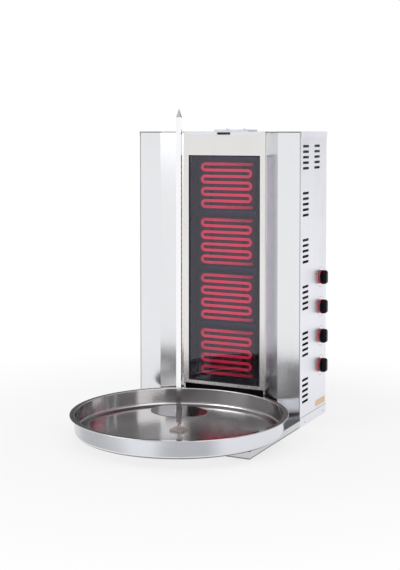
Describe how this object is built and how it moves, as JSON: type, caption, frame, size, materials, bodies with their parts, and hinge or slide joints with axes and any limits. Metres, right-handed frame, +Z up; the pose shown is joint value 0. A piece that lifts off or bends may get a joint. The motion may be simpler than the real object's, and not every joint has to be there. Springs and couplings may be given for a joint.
{
  "type": "doner kebab grill",
  "caption": "Upright electric kebab grill: steel housing with glowing elements behind glass, side knobs, round drip pan on a flat base and a turning square spit with a sliding disc.",
  "frame": {"origin": "middle of the object's footprint, at floor level under the rubber feet", "axes": "+Z up, +X to the right as seen from the pan side, +Y backwards from the pan to the housing"},
  "size_m": [0.614, 0.7902, 0.9255],
  "materials": {
    "sheet_steel": "fine brushed stainless sheet",
    "polished_steel": "polished stainless sheet, nearly a mirror",
    "base_steel": "brushed stainless sheet",
    "pan_steel": "satin stainless sheet with circular brushing",
    "spit_steel": "polished stainless bar",
    "socket_brass": "dull brass plate",
    "fastener_steel": "zinc-plated steel",
    "galvanised_steel": "galvanised sheet",
    "heater_glass": "dark heat-proof glass",
    "seal_black": "black rope seal",
    "foot_rubber": "black rubber",
    "insulation_board": "dark pressed fibre board",
    "element_red": "glowing tubular element",
    "bead_white": "glazed ceramic bead with a steel stud",
    "regulator_case": "moulded case",
    "shaft_steel": "turned steel",
    "knob_black": "moulded black plastic",
    "skirt_red": "red moulded plastic",
    "block_cream": "cream moulded block",
    "gland_black": "black nylon",
    "lead_red": "silicone-covered wire",
    "label_foil": "blank beige foil"
  },
  "bodies": {
    "root": {"back_panel": "sheet_steel", "back_panel_screws": "fastener_steel", "base_tray": "base_steel", "blank_label": "label_foil", "cable_gland": "gland_black", "centre_frame": "sheet_steel", "element_supports": "galvanised_steel", "element_terminals": "bead_white", "energy_regulator_1": "regulator_case", "energy_regulator_2": "regulator_case", "energy_regulator_3": "regulator_case", "energy_regulator_4": "regulator_case", "foot_screws": "fastener_steel", "front_column_left": "polished_steel", "front_column_right": "polished_steel", "gland_locknut": "gland_black", "glass_clips": "galvanised_steel", "glass_panel": "heater_glass", "glass_seal": "seal_black", "heat_shield": "galvanised_steel", "heater_insulation": "insulation_board", "heater_rails": "galvanised_steel", "heater_tray_1": "galvanised_steel", "heater_tray_2": "galvanised_steel", "heater_tray_3": "galvanised_steel", "heater_tray_4": "galvanised_steel", "heating_element_1": "element_red", "heating_element_2": "element_red", "heating_element_3": "element_red", "heating_element_4": "element_red", "inner_shelf": "galvanised_steel", "panel_rivets": "fastener_steel", "regulator_nuts": "fastener_steel", "rubber_feet": "foot_rubber", "side_panel_left": "sheet_steel", "side_panel_right": "sheet_steel", "spit_arm_socket": "sheet_steel", "terminal_block": "block_cream", "top_cover": "sheet_steel", "top_plate": "sheet_steel", "top_plate_screws": "fastener_steel", "wiring_loom": "lead_red"},
    "pan": {"drip_pan": "pan_steel", "spit_socket": "socket_brass"},
    "spit": {"spit_bar": "spit_steel", "disc_stop_pin": "spit_steel"},
    "disc": {"kebab_disc": "spit_steel"},
    "knob_body_1": {"knob_1": "knob_black", "knob_skirt_1": "skirt_red", "regulator_shaft_1": "shaft_steel"},
    "knob_body_2": {"knob_2": "knob_black", "knob_skirt_2": "skirt_red", "regulator_shaft_2": "shaft_steel"},
    "knob_body_3": {"knob_3": "knob_black", "knob_skirt_3": "skirt_red", "regulator_shaft_3": "shaft_steel"},
    "knob_body_4": {"knob_4": "knob_black", "knob_skirt_4": "skirt_red", "regulator_shaft_4": "shaft_steel"}
  },
  "joints": [
    {"name": "pan_slide", "type": "slide", "parent": "root", "child": "pan", "axis": [0, -1, 0], "range_m": [0, 0.1]},
    {"name": "spit_spin", "type": "hinge", "parent": "pan", "child": "spit", "pos_m": [0, -0.0881, 0.04], "axis": [0, 0, 1], "continuous": true},
    {"name": "disc_slide", "type": "slide", "parent": "spit", "child": "disc", "axis": [0, 0, 1], "range_m": [0, 0.8]},
    {"name": "knob_1_turn", "type": "hinge", "parent": "root", "child": "knob_body_1", "pos_m": [0.27, 0.3303, 0.4228], "axis": [1, 0, 0], "range_deg": [0, 300]},
    {"name": "knob_2_turn", "type": "hinge", "parent": "root", "child": "knob_body_2", "pos_m": [0.27, 0.3303, 0.3337], "axis": [1, 0, 0], "range_deg": [0, 300]},
    {"name": "knob_3_turn", "type": "hinge", "parent": "root", "child": "knob_body_3", "pos_m": [0.27, 0.3303, 0.2446], "axis": [1, 0, 0], "range_deg": [0, 300]},
    {"name": "knob_4_turn", "type": "hinge", "parent": "root", "child": "knob_body_4", "pos_m": [0.27, 0.3303, 0.1555], "axis": [1, 0, 0], "range_deg": [0, 300]}
  ]
}
